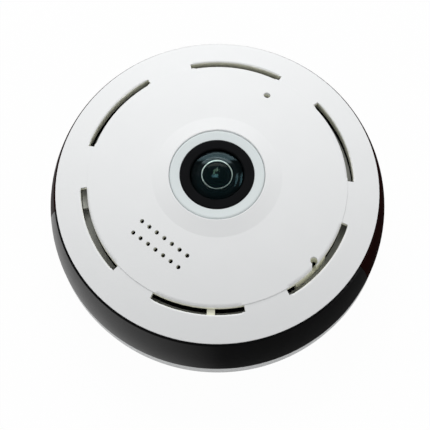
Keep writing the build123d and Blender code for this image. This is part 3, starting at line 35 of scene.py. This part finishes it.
# Light on the object: one soft lamp above and behind it, in watts, and even light from all round
KEY_PLACE = (-0.08, 0.88, 1.05)
KEY_AIM = (0.0, 0.0, 0.03)
KEY_SIZE = 0.8
KEY_POWER = 10.4
WORLD_LEVEL = 0.58

# Patch that stands in for the lamp behind the front glass: the glass surfaces that a ray has passed
# by then, the cosine of the patch's half angle, and its level
PATCH_DEPTH = 2.5
PATCH_COSINE = 0.96
PATCH_LEVEL = 5.0

# Room that gloss and glass mirror, in parts of the ray's direction: dim, with a window at the back,
# one on the right, and a skylight. The windows fade in over a short way from their edges.
ROOM_LEVEL = 0.06
BACK_WINDOW_EDGE = 0.80
BACK_WINDOW_FADE = 0.06
SIDE_WINDOW_EDGE = 0.88
SIDE_WINDOW_FADE = 0.03
WINDOW_TOP = 0.35
WINDOW_TOP_FADE = 0.06
SKYLIGHT_X = -0.095
SKYLIGHT_Y = 0.13
SKYLIGHT_HALF_X = 0.15
SKYLIGHT_HALF_Y = 0.08

# Painted reflection on the floor that gloss and glass mirror: white up to its left edge, painted
# nearly black from its right edge on, and down to a small share of that beyond its reach
FLOOR_LEFT_X = -0.07
FLOOR_LEFT_LEVEL = 1.0
FLOOR_RIGHT_X = 0.0
FLOOR_RIGHT_LEVEL = 0.04
FLOOR_REACH = 0.22
FLOOR_FADE = 0.08
FLOOR_FAR_SHARE = 0.1

# Floor that the camera sees: this share of plain white, and the rest is paint that takes the shadow
FLOOR_SIZE = 6.0
FLOOR_WHITE = 0.97
FLOOR_PAINT = (0.85, 0.85, 0.85)

# White shell: its plain colour and the two shades round it, its range of roughness, and its grain
SHELL_COLOR = (0.83, 0.84, 0.845)
SHELL_DARK = (0.815, 0.827, 0.832)
SHELL_PALE = (0.84, 0.85, 0.855)
SHELL_ROUGHNESS = (0.45, 0.55)
SHELL_GLOSS = 0.3
SHELL_GRAIN = 0.22 * MM
SHELL_GRAIN_DEPTH = 0.010 * MM
SHELL_SOFT_EDGE = 0.12 * MM

# Painted light in the cover's slots, cream for light passing through the plastic: the centre and
# radius of the sphere that the skin follows, the depth below it at which a wall is all painted
# cream, and the heights between which the cover begins
SLOT_PAINTED_GLOW = (0.96, 0.96, 0.82)
DOME_CENTRE = (0.0, 0.0, -81.57 * MM)
DOME_SKIN_R = 125.4 * MM
PAINTED_GLOW_DEPTH = 0.6 * MM
COVER_LOW_Z = 26 * MM
COVER_HIGH_Z = 28 * MM

# Infrared windows: dark red between two shades, with a wavy polished coat over a dull body
WINDOW_COLOR = (0.010, 0.0016, 0.0012)
WINDOW_DARK = (0.006, 0.001, 0.0008)
WINDOW_PALE = (0.014, 0.0022, 0.0016)
WINDOW_ROUGHNESS = 0.3
WINDOW_COAT = 0.12
WINDOW_COAT_ROUGHNESS = 0.12
WINDOW_WAVE = 1.2 * MM
WINDOW_WAVE_DEPTH = 0.02 * MM

# Patterns: noise detail of grain and of patches, sizes of patches of colour, roughness and wear,
# how far roughness goes down and up in them, depth of grain as a share of its size, size of a
# metal's grain, and samples for a rounded edge
GRAIN_DETAIL = 2.0
PATCH_DETAIL = 4.0
COLOR_PATCH = 9 * MM
ROUGHNESS_PATCH = 6 * MM
WEAR_PATCH = 2 * MM
ROUGHNESS_SWING = 0.04
WEAR_SMOOTHER = 0.07
WEAR_ROUGHER = 0.1
PLASTIC_GRAIN_DEPTH = 0.05
METAL_GRAIN_DEPTH = 0.03
METAL_GRAIN = 0.2 * MM
EDGE_SAMPLES = 4

# Circuit boards: roughness, size of the net of tracks, their width as a share of it, and height
BOARD_ROUGHNESS = 0.35
TRACK_NET = 3.2 * MM
TRACK_WIDTH = 0.06
TRACK_HEIGHT = 0.03 * MM


def object_place(tree):
    """Point on the surface in the object's own coordinates."""
    return tree.nodes.new("ShaderNodeTexCoord").outputs["Object"]


def math_node(tree, operation, *values):
    """Result of one operation on one or two values or sockets."""
    node = tree.nodes.new("ShaderNodeMath")
    node.operation = operation
    for socket, value in zip(node.inputs, values):
        if isinstance(value, (int, float)):
            socket.default_value = value
        else:
            tree.links.new(value, socket)
    return node.outputs["Value"]


def math_chain(tree, operation, first, *rest):
    """Result of one operation over several values or sockets."""
    for value in rest:
        first = math_node(tree, operation, first, value)
    return first


def spread(tree, value, at_start, at_end, start=0.0, end=1.0):
    """Level that goes from one number to another as the value goes from start to end."""
    node = tree.nodes.new("ShaderNodeMapRange")
    node.inputs["From Min"].default_value = start
    node.inputs["From Max"].default_value = end
    node.inputs["To Min"].default_value = at_start
    node.inputs["To Max"].default_value = at_end
    tree.links.new(value, node.inputs["Value"])
    return node.outputs["Result"]


def within(tree, value, middle, half):
    """One where the value is less than half from the middle, zero elsewhere."""
    offset = math_node(tree, "ABSOLUTE", math_node(tree, "SUBTRACT", value, middle))
    return math_node(tree, "LESS_THAN", offset, half)


def noise(tree, size, detail):
    """Noise whose blots are about this size, in the object's own coordinates."""
    texture = tree.nodes.new("ShaderNodeTexNoise")
    texture.inputs["Scale"].default_value = 1.0 / size
    texture.inputs["Detail"].default_value = detail
    tree.links.new(object_place(tree), texture.inputs["Vector"])
    return texture.outputs["Fac"]


def mix_colors(tree, factor, first, second):
    """Blend of two colours or colour sockets."""
    node = tree.nodes.new("ShaderNodeMix")
    node.data_type = "RGBA"
    tree.links.new(factor, node.inputs["Factor"])
    for socket, value in zip((node.inputs["A"], node.inputs["B"]), (first, second)):
        if isinstance(value, (tuple, list)):
            socket.default_value = (*value, 1.0)
        else:
            tree.links.new(value, socket)
    return node.outputs["Result"]


def new_shader(name, color, roughness, metallic=0.0, gloss=0.5):
    """Principled material with a plain colour, to be dressed by the functions below."""
    material = bpy.data.materials.new(name)
    material.use_nodes = True
    shader = material.node_tree.nodes["Principled BSDF"]
    shader.inputs["Base Color"].default_value = (*color, 1.0)
    shader.inputs["Roughness"].default_value = roughness
    shader.inputs["Metallic"].default_value = metallic
    shader.inputs["Specular IOR Level"].default_value = gloss
    return material, shader


def add_grain(material, shader, size, depth, soft_edge=0.0):
    """Fine moulded grain: a bump of this blot size and depth, over edges rounded for the light."""
    tree = material.node_tree
    bump = tree.nodes.new("ShaderNodeBump")
    bump.inputs["Distance"].default_value = depth
    tree.links.new(noise(tree, size, GRAIN_DETAIL), bump.inputs["Height"])
    if soft_edge:
        bevel = tree.nodes.new("ShaderNodeBevel")
        bevel.samples = EDGE_SAMPLES
        bevel.inputs["Radius"].default_value = soft_edge
        tree.links.new(bevel.outputs["Normal"], bump.inputs["Normal"])
    tree.links.new(bump.outputs["Normal"], shader.inputs["Normal"])


def vary_roughness(material, shader, size, low, high):
    """Roughness that wanders between two values."""
    tree = material.node_tree
    roughness = spread(tree, noise(tree, size, PATCH_DETAIL), low, high)
    tree.links.new(roughness, shader.inputs["Roughness"])


def vary_color(material, shader, dark, pale):
    """Colour that wanders between two shades."""
    tree = material.node_tree
    color = mix_colors(tree, noise(tree, COLOR_PATCH, PATCH_DETAIL), dark, pale)
    tree.links.new(color, shader.inputs["Base Color"])


def plastic(name, color, roughness, grain, mottle=0.03, gloss=0.5, soft_edge=0.0):
    """Moulded plastic with a spark-eroded grain and a faint mottle."""
    material, shader = new_shader(name, color, roughness, gloss=gloss)
    add_grain(material, shader, grain, grain * PLASTIC_GRAIN_DEPTH, soft_edge)
    vary_roughness(material, shader, ROUGHNESS_PATCH,
                   roughness - ROUGHNESS_SWING, roughness + ROUGHNESS_SWING)
    vary_color(material, shader, [c * (1.0 - mottle) for c in color], color)
    return material


def shell_plastic():
    """White shell plastic with painted light in the cover's slots: cream for light passing through
    it.
    """
    middle_roughness = sum(SHELL_ROUGHNESS) / 2
    material, shader = new_shader("shell_white", SHELL_COLOR, middle_roughness, gloss=SHELL_GLOSS)
    tree = material.node_tree
    add_grain(material, shader, SHELL_GRAIN, SHELL_GRAIN_DEPTH, SHELL_SOFT_EDGE)
    vary_roughness(material, shader, ROUGHNESS_PATCH, *SHELL_ROUGHNESS)
    mottle = noise(tree, COLOR_PATCH, PATCH_DETAIL)
    skin = mix_colors(tree, mottle, SHELL_DARK, SHELL_PALE)
    from_centre = tree.nodes.new("ShaderNodeVectorMath")
    from_centre.operation = "DISTANCE"
    from_centre.inputs[1].default_value = DOME_CENTRE
    tree.links.new(object_place(tree), from_centre.inputs[0])
    place = tree.nodes.new("ShaderNodeSeparateXYZ")
    tree.links.new(object_place(tree), place.inputs[0])
    # Painted light: walls below the skin in the cover turn cream, for light passing through the
    # plastic
    below_skin = spread(tree, from_centre.outputs["Value"], 1.0, 0.0,
                        DOME_SKIN_R - PAINTED_GLOW_DEPTH, DOME_SKIN_R)
    in_cover = spread(tree, place.outputs["Z"], 0.0, 1.0, COVER_LOW_Z, COVER_HIGH_Z)
    painted_glow_mask = math_node(tree, "MULTIPLY", below_skin, in_cover)
    tree.links.new(mix_colors(tree, painted_glow_mask, skin, SLOT_PAINTED_GLOW), shader.inputs["Base Color"])
    return material


def window_plastic():
    """Dark red plastic whose shine comes from a thin polished coat."""
    material, shader = new_shader("window_red", WINDOW_COLOR, WINDOW_ROUGHNESS, gloss=0.0)
    shader.inputs["Coat Weight"].default_value = WINDOW_COAT
    shader.inputs["Coat Roughness"].default_value = WINDOW_COAT_ROUGHNESS
    add_grain(material, shader, WINDOW_WAVE, WINDOW_WAVE_DEPTH)
    vary_color(material, shader, WINDOW_DARK, WINDOW_PALE)
    return material


def metal(name, color, roughness):
    """Metal with a fine grain and patches of wear."""
    material, shader = new_shader(name, color, roughness, metallic=1.0)
    add_grain(material, shader, METAL_GRAIN, METAL_GRAIN * METAL_GRAIN_DEPTH)
    vary_roughness(material, shader, WEAR_PATCH,
                   roughness - WEAR_SMOOTHER, roughness + WEAR_ROUGHER)
    return material


def circuit_board(name, mask, copper):
    """Solder mask over raised copper tracks."""
    material, shader = new_shader(name, mask, BOARD_ROUGHNESS)
    tree = material.node_tree
    net = tree.nodes.new("ShaderNodeTexVoronoi")
    net.feature = "DISTANCE_TO_EDGE"
    net.inputs["Scale"].default_value = 1.0 / TRACK_NET
    tree.links.new(object_place(tree), net.inputs["Vector"])
    track = math_node(tree, "LESS_THAN", net.outputs["Distance"], TRACK_WIDTH)
    tree.links.new(mix_colors(tree, track, mask, copper), shader.inputs["Base Color"])
    bump = tree.nodes.new("ShaderNodeBump")
    bump.inputs["Distance"].default_value = TRACK_HEIGHT
    tree.links.new(track, bump.inputs["Height"])
    tree.links.new(bump.outputs["Normal"], shader.inputs["Normal"])
    return material


def clear(name, tint, coating, ior):
    """Clear polished glass or resin whose reflections take the coating's colour."""
    material, shader = new_shader(name, tint, 0.0)
    shader.inputs["Transmission Weight"].default_value = 1.0
    shader.inputs["IOR"].default_value = ior
    shader.inputs["Specular Tint"].default_value = (*coating, 1.0)
    return material


# One material for each slot of the record. A plastic has colour, roughness and grain size, a metal
# has colour and roughness, a board has mask and copper, and a glass has tint, coating and IOR.
SLOTS = {
    "shell_white": shell_plastic(),
    "trim_white": plastic("trim_white", (0.70, 0.755, 0.76), 0.3, 0.8 * MM,
                          mottle=0.02, gloss=0.35, soft_edge=0.1 * MM),
    "band_black": plastic("band_black", (0.005, 0.005, 0.0055), 0.34, 0.25 * MM,
                          mottle=0.4, gloss=0.30, soft_edge=0.2 * MM),
    # Painted shade: ring_grey is a white plastic ring painted grey for the shade it lies in below
    # the slots
    "ring_grey": plastic("ring_grey", (0.47, 0.48, 0.44), 0.5, 0.3 * MM, mottle=0.1),
    "window_red": window_plastic(),
    "lens_black": plastic("lens_black", (0.009, 0.0095, 0.0105), 0.5, 0.12 * MM,
                          mottle=0.3, gloss=0.04, soft_edge=0.15 * MM),
    "lens_glass": clear("lens_glass", (0.96, 0.99, 0.98), (0.35, 0.85, 1.0), 1.6),
    "filter_glass": clear("filter_glass", (0.6, 0.85, 0.95), (1.0, 0.5, 0.6), 1.5),
    "ring_metal": metal("ring_metal", (0.36, 0.47, 0.46), 0.3),
    "board_green": circuit_board("board_green", (0.010, 0.075, 0.030), (0.03, 0.14, 0.055)),
    "chip_black": plastic("chip_black", (0.018, 0.018, 0.020), 0.5, 0.15 * MM, mottle=0.2),
    "sensor_dark": plastic("sensor_dark", (0.02, 0.02, 0.04), 0.1, 0.05 * MM, mottle=0.2),
    "can_metal": metal("can_metal", (0.55, 0.55, 0.53), 0.35),
    "sink_metal": metal("sink_metal", (0.45, 0.46, 0.47), 0.45),
    "standoff_brass": metal("standoff_brass", (0.62, 0.44, 0.16), 0.3),
    "screw_steel": metal("screw_steel", (0.45, 0.45, 0.46), 0.3),
    "flex_amber": plastic("flex_amber", (0.42, 0.19, 0.03), 0.3, 0.5 * MM, mottle=0.2),
    "plug_white": plastic("plug_white", (0.72, 0.69, 0.60), 0.45, 0.2 * MM, mottle=0.08),
    "wire_skin": plastic("wire_skin", (0.02, 0.02, 0.02), 0.45, 0.2 * MM, mottle=0.2),
    "speaker_black": plastic("speaker_black", (0.015, 0.015, 0.016), 0.6, 0.3 * MM, mottle=0.3),
    "foam_black": plastic("foam_black", (0.02, 0.02, 0.02), 0.9, 0.4 * MM, mottle=0.4),
    "clear_epoxy": clear("clear_epoxy", (0.95, 0.96, 0.97), (1.0, 1.0, 1.0), 1.5),
}

# The elements behind the front glass reflect less than it does
INNER_GLASS = clear("inner_glass", (0.9, 0.97, 0.95), (0.03, 0.12, 0.07), 1.5)
INNER_ELEMENTS = ("second_element", "rear_element")


def dress_nodes():
    """Give each CAD node the material of its slot."""
    slot_of = {entry["node"]: entry["material_slot"] for entry in frame["record"]["subparts"]}
    for name, node in frame["nodes"].items():
        material = INNER_GLASS if name in INNER_ELEMENTS else SLOTS[slot_of[name]]
        node.material_slots[0].material = material


def mirrored(tree, path):
    """One for rays of gloss and glass, zero for others."""
    glossy, transmitted = path.outputs["Is Glossy Ray"], path.outputs["Is Transmission Ray"]
    return math_node(tree, "MAXIMUM", glossy, transmitted)


def add_floor():
    """Plain white floor with a faint shadow, and a painted reflection that gloss and glass see dark
    on the right.
    """
    bpy.ops.mesh.primitive_plane_add(size=FLOOR_SIZE, location=(0, 0, 0))
    floor = bpy.context.object
    floor.name = "floor"
    material = bpy.data.materials.new("floor_white")
    material.use_nodes = True
    tree = material.node_tree
    tree.nodes.clear()
    place = tree.nodes.new("ShaderNodeSeparateXYZ")
    tree.links.new(object_place(tree), place.inputs[0])
    reach = tree.nodes.new("ShaderNodeVectorMath")
    reach.operation = "LENGTH"
    tree.links.new(object_place(tree), reach.inputs[0])
    # Painted reflection: what gloss and glass see of the floor, white on the left, nearly black on
    # the right, dim far out
    painted_reflection_across = spread(tree, place.outputs["X"], FLOOR_LEFT_LEVEL, FLOOR_RIGHT_LEVEL,
                    FLOOR_LEFT_X, FLOOR_RIGHT_X)
    away = spread(tree, reach.outputs["Value"], 1.0, FLOOR_FAR_SHARE,
                  FLOOR_REACH, FLOOR_REACH + FLOOR_FADE)
    path = tree.nodes.new("ShaderNodeLightPath")
    by_camera, by_gloss = path.outputs["Is Camera Ray"], mirrored(tree, path)
    level = math_chain(tree, "MULTIPLY", by_gloss, painted_reflection_across, away)
    glow = tree.nodes.new("ShaderNodeEmission")
    tree.links.new(math_node(tree, "ADD", level, by_camera), glow.inputs["Strength"])
    paint = tree.nodes.new("ShaderNodeBsdfDiffuse")
    paint.inputs["Color"].default_value = (*FLOOR_PAINT, 1.0)
    seen = math_node(tree, "MAXIMUM", by_gloss, by_camera)
    mix = tree.nodes.new("ShaderNodeMixShader")
    tree.links.new(math_node(tree, "MULTIPLY", seen, FLOOR_WHITE), mix.inputs["Fac"])
    tree.links.new(paint.outputs["BSDF"], mix.inputs[1])
    tree.links.new(glow.outputs["Emission"], mix.inputs[2])
    out = tree.nodes.new("ShaderNodeOutputMaterial")
    tree.links.new(mix.outputs["Shader"], out.inputs["Surface"])
    floor.data.materials.append(material)


def ray_direction(tree):
    """Direction of the ray, which is what a world's generated coordinates are."""
    return tree.nodes.new("ShaderNodeTexCoord").outputs["Generated"]


def room_level(tree):
    """Level of the mirrored room in the ray's direction."""
    ray = tree.nodes.new("ShaderNodeSeparateXYZ")
    tree.links.new(ray_direction(tree), ray.inputs[0])
    x, y, z = ray.outputs["X"], ray.outputs["Y"], ray.outputs["Z"]
    back = spread(tree, y, 0.0, 1.0, BACK_WINDOW_EDGE, BACK_WINDOW_EDGE + BACK_WINDOW_FADE)
    side = spread(tree, x, 0.0, 1.0, SIDE_WINDOW_EDGE, SIDE_WINDOW_EDGE + SIDE_WINDOW_FADE)
    low = spread(tree, z, 1.0, 0.0, WINDOW_TOP, WINDOW_TOP + WINDOW_TOP_FADE)
    windows = math_node(tree, "MULTIPLY", math_node(tree, "MAXIMUM", back, side), low)
    in_x = within(tree, x, SKYLIGHT_X, SKYLIGHT_HALF_X)
    in_y = within(tree, y, SKYLIGHT_Y, SKYLIGHT_HALF_Y)
    above = math_node(tree, "GREATER_THAN", z, 0.0)
    skylight = math_chain(tree, "MULTIPLY", in_x, in_y, above)
    return math_chain(tree, "MAXIMUM", windows, skylight, ROOM_LEVEL)


def patch_level(tree, path):
    """Level of the patch that stands in for the lamp behind the front glass."""
    toward = tree.nodes.new("ShaderNodeVectorMath")
    toward.operation = "DOT_PRODUCT"
    tree.links.new(ray_direction(tree), toward.inputs[0])
    toward.inputs[1].default_value = Vector(KEY_PLACE).normalized()
    at_lamp = math_node(tree, "GREATER_THAN", toward.outputs["Value"], PATCH_COSINE)
    behind = math_node(tree, "GREATER_THAN", path.outputs["Transmission Depth"], PATCH_DEPTH)
    return math_chain(tree, "MULTIPLY", at_lamp, behind, PATCH_LEVEL)


def add_world():
    """Even light from all round, which gloss and glass see as a dim room with windows."""
    world = bpy.data.worlds.new("studio")
    bpy.context.scene.world = world
    world.use_nodes = True
    tree = world.node_tree
    background = tree.nodes["Background"]
    background.inputs["Color"].default_value = (1.0, 1.0, 1.0, 1.0)
    path = tree.nodes.new("ShaderNodeLightPath")
    by_gloss = mirrored(tree, path)
    room = math_node(tree, "ADD", room_level(tree), patch_level(tree, path))
    seen_share = math_node(tree, "MULTIPLY", by_gloss, room)
    light_share = spread(tree, by_gloss, WORLD_LEVEL, 0.0)
    level = math_node(tree, "ADD", seen_share, light_share)
    tree.links.new(level, background.inputs["Strength"])


def add_key_light():
    """Square soft lamp aimed at the object, which gloss and glass don't mirror."""
    light = bpy.data.lights.new("key", "AREA")
    light.size = KEY_SIZE
    light.energy = KEY_POWER
    lamp = bpy.data.objects.new("key", light)
    bpy.context.scene.collection.objects.link(lamp)
    lamp.visible_glossy = False
    lamp.visible_transmission = False
    lamp.location = KEY_PLACE
    aim = Vector(KEY_AIM) - Vector(KEY_PLACE)
    lamp.rotation_euler = aim.to_track_quat("-Z", "Y").to_euler()


def add_camera():
    """Camera at the photograph's place and angle."""
    camera = bpy.data.cameras.new("camera")
    camera.sensor_width = CAMERA_SENSOR
    camera.lens = CAMERA_LENS
    camera.clip_start = CAMERA_NEAR
    eye = bpy.data.objects.new("camera", camera)
    bpy.context.scene.collection.objects.link(eye)
    tilt = Matrix.Rotation(math.radians(90 - CAMERA_ELEVATION), 4, "X")
    roll = Matrix.Rotation(math.radians(CAMERA_ROLL), 4, "Z")
    eye.matrix_world = Matrix.Translation(CAMERA_PLACE) @ tilt @ roll
    bpy.context.scene.camera = eye


dress_nodes()
add_floor()
add_world()
add_key_light()
add_camera()
bpy.context.scene.view_settings.view_transform = "Standard"
